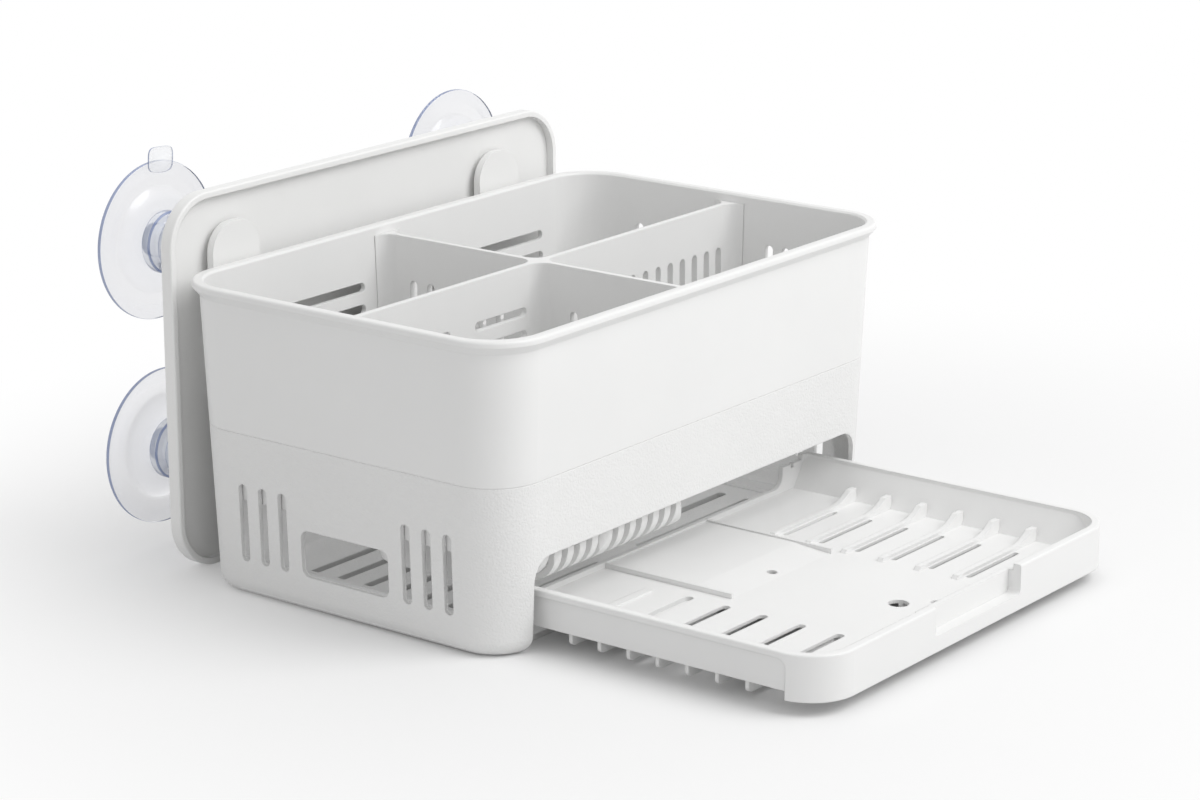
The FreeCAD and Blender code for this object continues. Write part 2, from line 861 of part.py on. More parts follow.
def far_ribs():
    """Low ribs on the tray's right half that sweep up at the side wall."""
    ribs = []
    end = tray_right - tray_wall - tray_lean + tray_rib_bite
    low = tray_floor - tray_floor_thickness / 2
    crest = tray_floor + tray_rib_height
    tip = tray_floor + tray_rib_swoop
    tip_start = end - tray_rib_tip
    swoop_start = tip_start - tray_rib_swoop_run
    for place in row_places():
        y = place - tray_rib_width / 2

        def at(x, z):
            return vec(x, y, z)

        bend = at(swoop_start + tray_rib_swoop_run / 2, crest + tray_rib_swoop * tray_rib_bend_share)
        edges = [line(at(tray_rib_start, low), at(tray_rib_start, tray_floor)),
                 line(at(tray_rib_start, tray_floor), at(tray_rib_start + tray_rib_height, crest)),
                 line(at(tray_rib_start + tray_rib_height, crest), at(swoop_start, crest)),
                 arc(at(swoop_start, crest), bend, at(tip_start, tip)),
                 line(at(tip_start, tip), at(end, tip)),
                 line(at(end, tip), at(end, low)),
                 line(at(end, low), at(tray_rib_start, low))]
        ribs.append(Part.Face(Part.Wire(edges)).extrude(Y_AXIS * tray_rib_width))
    return ribs


def plain_rib():
    """The low flat rib of the left half's first row, which has no slot."""
    y = row_places()[0] - plain_rib_width / 2
    low = tray_floor - tray_floor_thickness / 2
    return box(tray_left + tray_wall / 2, -plain_rib_start, y, y + plain_rib_width, low,
               tray_floor + plain_rib_height)


def under_ribs():
    """Ribs across the tray's underside that ride on the base's runners."""
    ribs = []
    half = tray_half_width - under_rib_margin
    top = tray_bottom + tray_floor_thickness / 2
    half_z = (top - under_rib_bottom) / 2
    steps = [under_rib_rear] + [under_rib_first + under_rib_pitch * index for index in range(under_rib_count)]
    for step in steps:
        y = -tray_rear - step - under_rib_thickness / 2
        place = vec(tray_middle, y, under_rib_bottom + half_z)
        radii = [under_rib_round, under_rib_round, tray_floor_thickness / 4, tray_floor_thickness / 4]
        ribs.append(rounded_prism(place, X_AXIS, Z_AXIS, half, half_z, radii, Y_AXIS * under_rib_thickness))
    return ribs


def rear_dip():
    """The low part of the rear wall, which clears the pocket and sweeps up to a post at its right end."""
    left = tray_left + tray_stub_width
    right = tray_right - tray_post_width
    swoop = tray_swoop
    lean = swoop * corner_share
    start = -tray_rear + overrun
    low = tray_lip_top
    top = tray_top + overrun

    def at(x, z):
        return vec(x, start, z)

    edges = [line(at(left + swoop, low), at(right - swoop, low)),
             arc(at(right - swoop, low), at(right - lean, low + lean), at(right, low + swoop)),
             line(at(right, low + swoop), at(right, top)),
             line(at(right, top), at(left, top)),
             line(at(left, top), at(left, low + swoop)),
             arc(at(left, low + swoop), at(left + lean, low + lean), at(left + swoop, low))]
    return Part.Face(Part.Wire(edges)).extrude(Y_AXIS * (-tray_wall - overrun * 2))


def post_top():
    """The step from the right side wall down to the top of the rear post."""
    end = tray_right - tray_rear_corner
    front = -tray_rear - tray_wall - overrun
    return box(0, end, front, overrun - tray_rear, tray_top - tray_post_drop, tray_top + overrun)


def post_nick():
    """A small nick in the top of the right rear post."""
    x = tray_right - tray_notch_margin
    half = tray_notch_width / 2
    front = -tray_rear - tray_wall - overrun
    top = tray_top - tray_post_drop
    return box(x - half, x + half, front, overrun - tray_rear, top - tray_notch_depth, top + overrun)


def grip_recess():
    """The finger pull cut into the fascia from its top edge."""
    front = -tray_front - fascia_proud
    top = tray_top + overrun
    half_z = (top - grip_bottom) / 2
    place = vec(grip_offset, front - overrun, grip_bottom + half_z)
    return rounded_prism(place, X_AXIS, Z_AXIS, grip_length / 2, half_z, [grip_corner] * 4,
                         Y_AXIS * (overrun + grip_depth))


def grip_block():
    """The wall behind the finger pull, set inside the tray."""
    back = -tray_front - fascia_proud + grip_depth + grip_wall
    half = grip_length / 2 + grip_wall
    low = tray_floor - tray_floor_thickness / 2
    return box(grip_offset - half, grip_offset + half, -tray_front + tray_wall / 2, back, low,
               tray_top - grip_drop)


def tray_cuts():
    """Slots on the left half, slits beside the ribs on the right half, and three drain holes."""
    cuts = []
    depth = Z_AXIS * ((tray_floor_thickness + tray_slot_overrun) * 2)
    z = tray_floor
    outer = -tray_left - tray_wall - tray_slot_margin
    length = outer - tray_slot_start
    for place in row_places()[1:]:
        middle = vec(-tray_slot_start - length / 2, place, z)
        cuts.append(slot(middle, X_AXIS, Y_AXIS, length, tray_slot_width, depth))
    for place in row_places():
        beside = place - (tray_rib_width + tray_slit_width) / 2
        middle = vec(tray_slit_start + tray_slit_length / 2, beside - tray_wall / 4, z)
        cuts.append(slot(middle, X_AXIS, Y_AXIS, tray_slit_length, tray_slit_width, depth))
    holes = [(0, -tray_rear - back_hole_place, pin_hole), (0, drain_hole_place - tray_front, drain_hole),
             (pin_hole_offset, front_hole_place - tray_front, pin_hole)]
    for x, y, width in holes:
        cuts.append(drum(vec(x, y, fascia_bottom), Z_AXIS, width / 2, tray_top - fascia_bottom))
    return cuts


def wall_plate():
    """The back plate with its border, tongues and cup sockets."""
    half_z = plate_height / 2
    place = vec(0, plate_front, half_z)
    plate = rounded_prism(place, X_AXIS, Z_AXIS, plate_length / 2, half_z, [plate_corner] * 4,
                          Y_AXIS * (plate_back - plate_front))
    rim = [edge for edge in plate.Edges if edge.BoundBox.YLength < pick_gap]
    plate = plate.makeFillet(plate_edge_round, rim)
    recess = rounded_prism(place - Y_AXIS * overrun, X_AXIS, Z_AXIS, plate_length / 2 - plate_border,
                           half_z - plate_border, [plate_corner - plate_border] * 4,
                           Y_AXIS * (plate_recess + overrun))
    plate = plate.cut(recess)
    plate = plate.fuse(tongues() + [socket_boss(x, z) for x, z in cup_places().values()])
    return plate.cut([socket_bore(x, z) for x, z in cup_places().values()]).removeSplitter()


def tongues():
    """Upturned tongues on short feet, which the bin's loops drop over."""
    parts = []
    foot_top = loop_bottom - tongue_foot_gap
    foot_bottom = foot_top - tongue_foot
    top = loop_top + tongue_rise
    half_z = (top - foot_bottom) / 2
    for x in loop_places():
        place = vec(x, tongue_front, foot_bottom + half_z)
        low_corner = tongue_thickness / 3
        radii = [low_corner, low_corner, tongue_corner, tongue_corner]
        tongue = rounded_prism(place, X_AXIS, Z_AXIS, tongue_width / 2, half_z, radii,
                               Y_AXIS * tongue_thickness)
        half = tongue_width / 2 - low_corner
        foot = box(x - half, x + half, tongue_front + tongue_thickness / 2, panel_front + panel_thickness / 2,
                   foot_bottom, foot_top)
        parts += [tongue, foot]
    return parts


def cup_places():
    """Axis of each suction cup, by the name of its corner."""
    half = cup_spacing / 2
    return {"upper_left": (-half, cup_upper_height), "upper_right": (half, cup_upper_height),
            "lower_left": (-half, cup_lower_height), "lower_right": (half, cup_lower_height)}


def tab_angles():
    """Which way each cup's pull tab points, by the name of its corner."""
    return {"upper_left": upper_left_tab_angle, "upper_right": upper_right_tab_angle,
            "lower_left": lower_left_tab_angle, "lower_right": lower_right_tab_angle}


def socket_boss(x, z):
    """A round boss behind the plate that holds a cup's stem."""
    return drum(vec(x, panel_front + panel_thickness / 2, z), Y_AXIS, socket_radius,
                socket_height + panel_thickness / 2)


def socket_bottom():
    """Where the blind socket ends inside the plate's panel."""
    return panel_front + socket_floor


def socket_bore(x, z):
    """The stem's bore with a wider chamber for its head."""
    bottom = socket_bottom()
    chamber = stem_head_length + socket_clearance * 2
    start = vec(x, bottom, z)
    bore = drum(start, Y_AXIS, stem_radius + stem_clearance, plate_back + socket_height + overrun - bottom)
    return bore.fuse(drum(start, Y_AXIS, stem_head_radius + socket_clearance, chamber))


def suction_cup(x, z, tab_angle):
    """A clear cup: dish, hub, collar, waist and a headed stem, with a pull tab on the rim."""
    rim = plate_back + cup_standoff
    hub_back = rim - cup_dish_depth
    hub_front = hub_back - cup_hub_thickness
    collar_back = hub_front - cup_waist
    collar_front = collar_back - cup_collar_thickness
    mouth = plate_back + socket_height
    stem_end = socket_bottom() + socket_clearance
    head_back = stem_end + stem_head_length
    dish_front = hub_back - cup_web / 2

    def at(radius, y):
        return vec(radius, y, 0)

    def rounded_ring(radius, inner, low, high):
        bevel = min(cup_edge_round, (high - low) / 2)
        return [at(inner, low), at(radius - bevel, low), at(radius, low + bevel), at(radius, high - bevel),
                at(radius - bevel, high)]

    lip = rim - cup_rim_thickness
    inner_rim = at(cup_radius - cup_rim_thickness, rim)
    outer_rim = at(cup_radius, lip)
    outside = [at(0, stem_end), at(stem_head_radius, stem_end), at(stem_head_radius, head_back),
               at(stem_radius, head_back), at(stem_radius, mouth + socket_clearance),
               at(cup_waist_radius, mouth + socket_clearance)]
    outside += rounded_ring(cup_collar_radius, cup_waist_radius, collar_front, collar_back)
    outside += [at(cup_waist_radius, collar_back)]
    outside += rounded_ring(cup_hub_radius, cup_waist_radius, hub_front, hub_back)
    dish_start = at(cup_hub_radius - cup_edge_round, dish_front + cup_web)
    edges = [line(first, last) for first, last in zip(outside, outside[1:])]
    edges.append(line(outside[-1], dish_start))
    bulge = (cup_radius + cup_hub_radius) / 2
    sag_y = dish_start.y + (lip - dish_start.y) * cup_bulge_share
    edges.append(arc(dish_start, at(bulge, sag_y), outer_rim))
    edges.append(line(outer_rim, at(cup_radius, rim)))
    edges.append(line(at(cup_radius, rim), inner_rim))
    nub_root = dish_start.y + cup_web
    nub_top = min(nub_root + cup_nub_height, rim - cup_web / 2)
    nub_corner = at(cup_nub_radius, nub_root)
    under_y = nub_root + (rim - nub_root) * cup_bulge_share
    edges.append(arc(inner_rim, at(bulge, under_y), nub_corner))
    edges.append(line(nub_corner, at(cup_nub_radius - cup_edge_round, nub_top)))
    edges.append(line(at(cup_nub_radius - cup_edge_round, nub_top), at(0, nub_top)))
    edges.append(line(at(0, nub_top), at(0, stem_end)))
    cup = Part.Face(Part.Wire(edges)).revolve(vec(0, 0, 0), Y_AXIS, 360)
    cup = cup.fuse(pull_tab(lip)).removeSplitter()
    cup.rotate(vec(0, 0, 0), Y_AXIS, -tab_angle)
    cup.translate(vec(x, 0, z))
    return cup


def pull_tab(lip):
    """The rounded tab on the cup's rim, set a little towards the plate."""
    half_x = (tab_reach + tab_root) / 2
    place = vec(cup_radius + tab_reach - half_x, lip - tab_lean, 0)
    radii = [tab_thickness, tab_corner, tab_corner, tab_thickness]
    return rounded_prism(place, X_AXIS, Z_AXIS, half_x, tab_width / 2, radii, Y_AXIS * tab_thickness)


def main():
    """Builds every piece and writes it to its own file."""
    os.makedirs("parts", exist_ok=True)
    pieces = {"storage_bin": storage_bin(), "base_shell": base_shell(), "cross_divider": cross_divider(),
              "drip_tray": drip_tray(), "wall_plate": wall_plate()}
    for corner, (x, z) in cup_places().items():
        pieces["suction_cup_" + corner] = suction_cup(x, z, tab_angles()[corner])
    for name, shape in pieces.items():
        bounds = shape.BoundBox
        sizes = [round(length, 1) for length in (bounds.XLength, bounds.YLength, bounds.ZLength)]
        print(name, shape.isValid(), len(shape.Solids), "solid", round(shape.Volume), "mm3", sizes)
        shape.exportStep("parts/" + name + ".step")


main()
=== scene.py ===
"""Kitchen sink caddy: the finishes of its white mouldings, its clear suction cups and a small studio."""
import json
import math

import bmesh
import bpy
from bpy.props import FloatProperty, FloatVectorProperty, IntProperty, PointerProperty
from mathutils import Matrix, Vector


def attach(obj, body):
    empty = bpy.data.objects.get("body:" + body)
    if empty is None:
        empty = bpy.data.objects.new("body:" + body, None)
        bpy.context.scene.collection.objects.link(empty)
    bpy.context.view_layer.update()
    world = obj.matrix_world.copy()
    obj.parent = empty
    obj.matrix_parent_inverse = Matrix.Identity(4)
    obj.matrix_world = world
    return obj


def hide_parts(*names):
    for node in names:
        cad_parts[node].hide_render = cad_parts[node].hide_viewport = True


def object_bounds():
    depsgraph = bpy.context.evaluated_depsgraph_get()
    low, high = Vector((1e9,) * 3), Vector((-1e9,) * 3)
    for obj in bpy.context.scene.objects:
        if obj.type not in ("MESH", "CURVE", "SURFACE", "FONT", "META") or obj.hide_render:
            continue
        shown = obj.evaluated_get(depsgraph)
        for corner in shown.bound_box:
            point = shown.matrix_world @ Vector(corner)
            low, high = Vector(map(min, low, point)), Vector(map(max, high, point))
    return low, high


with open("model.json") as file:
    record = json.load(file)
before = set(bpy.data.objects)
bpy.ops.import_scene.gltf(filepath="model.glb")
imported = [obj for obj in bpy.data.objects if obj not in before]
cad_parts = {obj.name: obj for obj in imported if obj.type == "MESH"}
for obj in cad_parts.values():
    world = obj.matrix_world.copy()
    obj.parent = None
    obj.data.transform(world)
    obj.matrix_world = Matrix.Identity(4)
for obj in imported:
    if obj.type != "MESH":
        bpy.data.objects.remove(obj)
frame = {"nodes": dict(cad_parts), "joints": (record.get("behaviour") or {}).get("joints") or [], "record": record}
cad_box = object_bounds()

bl_info = {
    "name": "Kitchen sink caddy",
    "version": (1, 0, 0),
    "blender": (4, 5, 0),
    "location": "3D View > Sidebar > Caddy",
    "description": "Finishes the caddy's mouldings, turns its clear suction cups and sets a small studio",
    "category": "Object",
}

# Where each cup's pull tab points, in degrees from +X towards +Z.
TAB_ANGLES = {"upper_left": 86.0, "upper_right": -75.0, "lower_left": -10.0, "lower_right": 195.0}
# The materials of a cup, in the order of their slots.
CLEAR, EDGE, FILM, RINGS = range(4)
# Of the rise and run of a slanted stretch, the lesser is more than this share of the other.
SLANT = 0.3
# The largest share of a side that a rounded corner takes up.
CORNER_SHARE = 0.45
# A radius in metres below which a point lies on the axis.
ON_AXIS = 1e-7
# Faces that meet at more than this keep a sharp edge.
SHARP_ANGLE = math.radians(50)
WHITE = (1.0, 1.0, 1.0, 1.0)
BLACK = (0.0, 0.0, 0.0, 1.0)


def mount_depth(name):
    """How far back a mount of the record lies."""
    return next(mount["pos_m"][1] for mount in frame["record"]["mounts"] if mount["name"] == name)


def joint_place(name):
    """Where a joint's axis passes."""
    return Vector(next(joint["pos_m"] for joint in frame["joints"] if joint["name"] == name))


# From the plate's back to the face of a cup's rim.
CUP_LENGTH = mount_depth("cup_face_upper_left") - joint_place("cup_upper_left_turn").y


class CaddyFinishSettings(bpy.types.PropertyGroup):
    """Colours and surface grain of the white mouldings."""

    bin_colour: FloatVectorProperty(
        name="Bin colour", description="Smooth plastic of the bin and its divider",
        subtype="COLOR", size=3, min=0, max=1, default=(0.825, 0.825, 0.82))
    base_colour: FloatVectorProperty(
        name="Base colour", description="Grained plastic of the base",
        subtype="COLOR", size=3, min=0, max=1, default=(0.81, 0.81, 0.805))
    tray_colour: FloatVectorProperty(
        name="Tray colour", description="Satin plastic of the drip tray",
        subtype="COLOR", size=3, min=0, max=1, default=(0.82, 0.82, 0.815))
    plate_colour: FloatVectorProperty(
        name="Plate colour", description="Satin plastic of the wall plate",
        subtype="COLOR", size=3, min=0, max=1, default=(0.865, 0.865, 0.857))
    satin_roughness: FloatProperty(
        name="Satin roughness", description="Roughness of the smooth plastic",
        subtype="FACTOR", min=0, max=1, default=0.42)
    grain_roughness: FloatProperty(
        name="Grain roughness", description="Roughness of the grained plastic",
        subtype="FACTOR", min=0, max=1, default=0.6)
    gloss_swing: FloatProperty(
        name="Gloss swing", description="How much the clouds change the roughness",
        subtype="FACTOR", min=0, max=1, default=0.08)
    refraction: FloatProperty(
        name="Plastic refraction", description="Index of refraction of the white plastic", default=1.49)
    edge_round: FloatProperty(
        name="Edge rounding", description="Radius of the moulded edges", unit="LENGTH", default=0.0006)
    grain_size: FloatProperty(
        name="Grain size", description="Width of a pebble of the base's grain",
        unit="LENGTH", default=0.0009)
    grain_depth: FloatProperty(
        name="Grain depth", description="Depth of the base's grain", unit="LENGTH", default=0.00013)
    grain_fine: FloatProperty(
        name="Fine grain", description="Share of the finer grain on the pebbles",
        subtype="FACTOR", min=0, max=1, default=0.5)
    ripple_size: FloatProperty(
        name="Ripple size", description="Width of the smooth plastic's faint ripple",
        unit="LENGTH", default=0.004)
    ripple_depth: FloatProperty(
        name="Ripple depth", description="Depth of the smooth plastic's faint ripple",
        unit="LENGTH", default=0.000012)
    cloud_size: FloatProperty(
        name="Cloud size", description="Width of the faint clouds in the colour",
        unit="LENGTH", default=0.035)
    cloud_share: FloatProperty(
        name="Cloud share", description="How much the clouds change the colour",
        subtype="FACTOR", min=0, max=1, default=0.018)
    # Painted light: the base's inside glows a soft grey through Emission, standing in for the light that gathers
    # there.
    painted_inner_glow: FloatProperty(
        name="Inner light", description="Soft light that gathers inside the base",
        subtype="FACTOR", min=0, max=1, default=0.11)
    # The sizes below set where the painted inner glow lies on the base and how it fades out.
    inner_size: FloatVectorProperty(
        name="Inner size", description="Half length and half depth of the base's inside",
        size=2, unit="LENGTH", default=(0.1175, 0.0725))
    inner_corner: FloatProperty(
        name="Inner corner", description="Corner radius of the base's inside",
        unit="LENGTH", default=0.0205)
    inner_floor: FloatProperty(
        name="Inner floor", description="Height of the base's inner floor", unit="LENGTH", default=0.0026)
    floor_fade: FloatProperty(
        name="Floor fade", description="Depth below the inner floor where the inner light ends",
        unit="LENGTH", default=0.00052)
    wall_fade: FloatProperty(
        name="Wall fade", description="Distance from the inner walls over which the inner light starts",
        unit="LENGTH", default=0.00041)


class CaddyCupSettings(bpy.types.PropertyGroup):
    """Sizes and colours of the clear suction cups."""

    radius: FloatProperty(
        name="Radius", description="Radius of the cup's rim", unit="LENGTH", default=0.0308)
    rim: FloatProperty(
        name="Rim", description="Thickness of the rim", unit="LENGTH", default=0.0017)
    lip_round: FloatProperty(
        name="Lip rounding", description="Radius of the rim's edges", unit="LENGTH", default=0.00034)
    face_width: FloatProperty(
        name="Face width", description="Width of the rim's flat face", unit="LENGTH", default=0.0034)
    flat_depth: FloatProperty(
        name="Flat depth", description="From the rim's face to the outside of the dish beside the bell",
        unit="LENGTH", default=0.0009)
    bell_radius: FloatProperty(
        name="Bell radius", description="Where the bell meets the flat of the dish",
        unit="LENGTH", default=0.021)
    hollow_edge: FloatProperty(
        name="Hollow edge", description="From the rim's edge to the hollow of the dish",
        unit="LENGTH", default=0.0051)
    hollow_depth: FloatProperty(
        name="Hollow depth", description="From the rim's face to the hollow beside the bell",
        unit="LENGTH", default=0.000567)
    hollow_rise: FloatProperty(
        name="Hollow rise", description="How far the hollow rises towards its middle",
        unit="LENGTH", default=0.00255)
    nub_radius: FloatProperty(
        name="Nub radius", description="Radius of the nub in the middle of the dish",
        unit="LENGTH", default=0.0066)
    nub_gap: FloatProperty(
        name="Nub gap", description="From the rim's face to the nub's end", unit="LENGTH", default=0.000425)
    hub_radius: FloatProperty(
        name="Hub radius", description="Radius of the ring next to the dish", unit="LENGTH", default=0.0122)
    hub_width: FloatProperty(
        name="Hub width", description="Width of the ring next to the dish", unit="LENGTH", default=0.0036)
    collar_radius: FloatProperty(
        name="Collar radius", description="Radius of the ring next to the plate",
        unit="LENGTH", default=0.011)
    collar_width: FloatProperty(
        name="Collar width", description="Width of the ring next to the plate",
        unit="LENGTH", default=0.0034)
    waist_radius: FloatProperty(
        name="Waist radius", description="Radius of the neck between the rings",
        unit="LENGTH", default=0.0085)
    waist_width: FloatProperty(
        name="Waist width", description="Length of the neck between the rings",
        unit="LENGTH", default=0.0032)
    dish_depth: FloatProperty(
        name="Dish depth", description="From the rim's face to the hub", unit="LENGTH", default=0.005)
    socket_reach: FloatProperty(
        name="Socket reach", description="How far the plate's socket stands out",
        unit="LENGTH", default=0.0068)
    stem_radius: FloatProperty(
        name="Stem radius", description="Radius of the stem in the socket", unit="LENGTH", default=0.007)
    stem_depth: FloatProperty(
        name="Stem depth", description="How far the stem goes into the plate",
        unit="LENGTH", default=0.0007)
    head_radius: FloatProperty(
        name="Head radius", description="Radius of the stem's head", unit="LENGTH", default=0.0082)
    head_width: FloatProperty(
        name="Head width", description="Width of the stem's head", unit="LENGTH", default=0.002)
    corner: FloatProperty(
        name="Corner", description="Rounding of the rings' edges", unit="LENGTH", default=0.001)
    tab_width: FloatProperty(
        name="Tab width", description="Width of the pull tab", unit="LENGTH", default=0.013)
    tab_reach: FloatProperty(
        name="Tab reach", description="How far the tab stands past the rim", unit="LENGTH", default=0.0055)
    tab_root: FloatProperty(
        name="Tab root", description="How far the tab lies over the dish", unit="LENGTH", default=0.0045)
    tab_thickness: FloatProperty(
        name="Tab thickness", description="Thickness of the pull tab", unit="LENGTH", default=0.0009)
    tab_crown: FloatProperty(
        name="Tab crown", description="Bevel of the tab's edges, and its gap to the rim",
        unit="LENGTH", default=0.000135)
    tab_length_power: FloatProperty(
        name="Tab length power", description="Roundness of the tab along its length, less being squarer",
        default=0.5)
    tab_end_power: FloatProperty(
        name="Tab end power", description="Roundness of the tab's free end, less being squarer",
        default=0.42)
    tab_root_power: FloatProperty(
        name="Tab root power", description="Roundness of the tab's root, less being squarer", default=0.72)
    tab_steps: IntProperty(
        name="Tab steps", description="Steps round the tab's outline", min=8, default=64)
    curve_steps: IntProperty(
        name="Curve steps", description="Steps along the bell and along the hollow", min=4, default=24)
    steps: IntProperty(
        name="Steps", description="Steps round the cup", min=24, default=144)
    tint: FloatVectorProperty(
        name="Tint", description="Tint that clear plastic takes on through its depth",
        subtype="COLOR", size=3, min=0, max=1, default=(0.55, 0.62, 0.80))
    tint_density: FloatProperty(
        name="Tint density", description="How fast the tint builds up, per metre", default=22.0)
    clear_colour: FloatVectorProperty(
        name="Clear colour", description="Colour of light through the dish",
        subtype="COLOR", size=3, min=0, max=1, default=(0.90, 0.90, 0.915))
    edge_colour: FloatVectorProperty(
        name="Edge colour", description="Blue-violet that gathers in the edges",
        subtype="COLOR", size=3, min=0, max=1, default=(0.27, 0.33, 0.53))
    edge_cover: FloatProperty(
        name="Edge cover", description="How much the edges hide what is behind them",
        subtype="FACTOR", min=0, max=1, default=0.88)
    film_colour: FloatVectorProperty(
        name="Film colour", description="Colour of the pull tab",
        subtype="COLOR", size=3, min=0, max=1, default=(0.95, 0.96, 0.99))
    film_cover: FloatProperty(
        name="Film cover", description="How much the tab hides what is behind it",
        subtype="FACTOR", min=0, max=1, default=0.3)
    ring_colour: FloatVectorProperty(
        name="Ring colour", description="Pale blue of the neck's rings",
        subtype="COLOR", size=3, min=0, max=1, default=(0.80, 0.84, 0.93))
    ring_cover: FloatProperty(
        name="Ring cover", description="How much the rings hide what is behind them",
        subtype="FACTOR", min=0, max=1, default=0.6)
    mottle: FloatProperty(
        name="Mottle", description="How much the waves change the colour of edges, tab and rings",
        subtype="FACTOR", min=0, max=1, default=0.1)
    film_roughness: FloatProperty(
        name="Film roughness", description="Roughness of edges, tab and rings",
        subtype="FACTOR", min=0, max=1, default=0.24)
    film_refraction: FloatProperty(
        name="Film refraction", description="Index of refraction of edges, tab and rings", default=1.5)
    refraction: FloatProperty(
        name="Refraction", description="Index of refraction of the clear dish", default=1.3)
    coat: FloatProperty(
        name="Coat", description="Strength of the dish's extra shine",
        subtype="FACTOR", min=0, max=1, default=1.0)
    coat_roughness: FloatProperty(
        name="Coat roughness", description="Roughness of the extra shine",
        subtype="FACTOR", min=0, max=1, default=0.32)
    roughness: FloatProperty(
        name="Cup roughness", description="Least roughness of the clear dish",
        subtype="FACTOR", min=0, max=1, default=0.06)
    gloss_swing: FloatProperty(
        name="Cup gloss swing", description="How much the waves add to the roughness",
        subtype="FACTOR", min=0, max=1, default=0.03)
    wave_size: FloatProperty(
        name="Wave size", description="Width of the clear plastic's faint waves",
        unit="LENGTH", default=0.0072)
    wave_depth: FloatProperty(
        name="Wave depth", description="Depth of the clear plastic's faint waves",
        unit="LENGTH", default=0.00003)


class CaddyStageSettings(bpy.types.PropertyGroup):
    """Camera, light and floor."""

    azimuth: FloatProperty(
        name="Azimuth", description="Camera's turn round the caddy",
        subtype="ANGLE", default=math.radians(-52.61))
    elevation: FloatProperty(
        name="Elevation", description="Camera's height above the horizon",
        subtype="ANGLE", default=math.radians(16.13))
    eye: FloatVectorProperty(
        name="Eye", description="Where the camera stands",
        subtype="TRANSLATION", size=3, unit="LENGTH", default=(-1.0097, -0.7979, 0.4304))
    focal_pixels: FloatProperty(
        name="Focal length", description="Focal length in pixels of the picture", default=3454.0)
    picture_width: FloatProperty(
        name="Picture width", description="Width of the picture in pixels", default=1200.0)
    sensor: FloatProperty(
        name="Sensor", description="Width of the sensor in millimetres", default=36.0)
    key_place: FloatVectorProperty(
        name="Key light", description="Where the key light stands",
        subtype="TRANSLATION", size=3, unit="LENGTH", default=(0.35, -1.15, 1.30))
    key_size: FloatProperty(
        name="Key size", description="Width of the key light", unit="LENGTH", default=1.3)
    key_power: FloatProperty(
        name="Key power", description="Power of the key light", unit="POWER", default=16.0)
    ambient: FloatProperty(
        name="Ambient", description="Strength of the light from all round", default=0.675)
    floor_radius: FloatProperty(
        name="Floor radius", description="Radius of the floor", unit="LENGTH", default=4.0)
    floor_steps: IntProperty(
        name="Floor steps", description="Steps round the floor", min=24, default=96)
    floor_colour: FloatProperty(
        name="Floor colour", description="Grey level of the floor where it lights the caddy",
        subtype="FACTOR", min=0, max=1, default=0.76)
    floor_seen: FloatProperty(
        name="Floor seen", description="Grey level of the floor in the picture",
        subtype="FACTOR", min=0, max=1, default=0.875)
    floor_glow: FloatProperty(
        name="Floor glow", description="Share of white in the floor that the picture shows",
        subtype="FACTOR", min=0, max=1, default=0.03)
    fade_place: FloatVectorProperty(
        name="Fade place", description="Middle of the shaded part of the floor",
        subtype="TRANSLATION", size=3, unit="LENGTH", default=(0.03, -0.1, 0.0))
    fade_start: FloatProperty(
        name="Fade start", description="Radius where the floor starts to fade into white",
        unit="LENGTH", default=0.14)
    fade_end: FloatProperty(
        name="Fade end", description="Radius where the floor has faded into white",
        unit="LENGTH", default=0.44)


class Term:
    """A node's output that Python's operators extend with Math nodes."""

    def __init__(self, graph, socket):
        self.graph = graph
        self.socket = socket

    def __add__(self, other):
        return self.graph.math("ADD", self, other)

    def __radd__(self, other):
        return self.graph.math("ADD", other, self)

    def __sub__(self, other):
        return self.graph.math("SUBTRACT", self, other)

    def __rsub__(self, other):
        return self.graph.math("SUBTRACT", other, self)

    def __mul__(self, other):
        return self.graph.math("MULTIPLY", self, other)

    def __rmul__(self, other):
        return self.graph.math("MULTIPLY", other, self)

    def __truediv__(self, other):
        return self.graph.math("DIVIDE", self, other)

    def __rtruediv__(self, other):
        return self.graph.math("DIVIDE", other, self)


class Outputs:
    """The outputs of a new node, by name."""

    def __init__(self, graph, node):
        self.graph = graph
        self.made = node

    def __getitem__(self, name):
        return Term(self.graph, self.made.outputs[name])


class Graph:
    """A node tree that is written as Python expressions."""

    def __init__(self, tree):
        self.tree = tree
        tree.nodes.clear()

    def node(self, kind, settings=None, inputs=None):
        """A node of a type, with its settings made first and then its sockets' values or links."""
        made = self.tree.nodes.new(kind)
        for name, value in (settings or {}).items():
            setattr(made, name, value)
        for name, value in (inputs or {}).items():
            socket = self.socket(made, name)
            if isinstance(value, Term):
                self.tree.links.new(value.socket, socket)
            else:
                socket.default_value = value
        return Outputs(self, made)

    def socket(self, made, name):
        """An input by its number, its identifier or its name."""
        if isinstance(name, int):
            return made.inputs[name]
        known = {socket.identifier: socket for socket in made.inputs}
        return known[name] if name in known else made.inputs[name]

    def math(self, operation, first, second=0.0):
        """A Math node's value."""
        return self.node("ShaderNodeMath", {"operation": operation}, {0: first, 1: second})["Value"]

    def noise(self, place, size, detail=2.0, roughness=0.5):
        """Soft noise from 0 to 1 whose features are about one size wide."""
        return self.node("ShaderNodeTexNoise", {}, {"Vector": place, "Scale": 1 / size, "Detail": detail,
                                                    "Roughness": roughness})["Fac"]

    def ramp(self, value, start, end):
        """An easing from 0 at one value to 1 at another."""
        return self.node("ShaderNodeMapRange", {"interpolation_type": "SMOOTHSTEP"},
                         {"Value": value, "From Min": start, "From Max": end})["Result"]

    def mix(self, share, first, second):
        """A colour between two."""
        return self.node("ShaderNodeMix", {"data_type": "RGBA"},
                         {"Factor_Float": share, "A_Color": first, "B_Color": second})["Result"]


def colour(values, scale=1.0):
    """A colour with its alpha, scaled."""
    return tuple(channel * scale for channel in values) + (1.0,)


def grey(level):
    """A grey with its alpha."""
    return colour((level,) * 3)


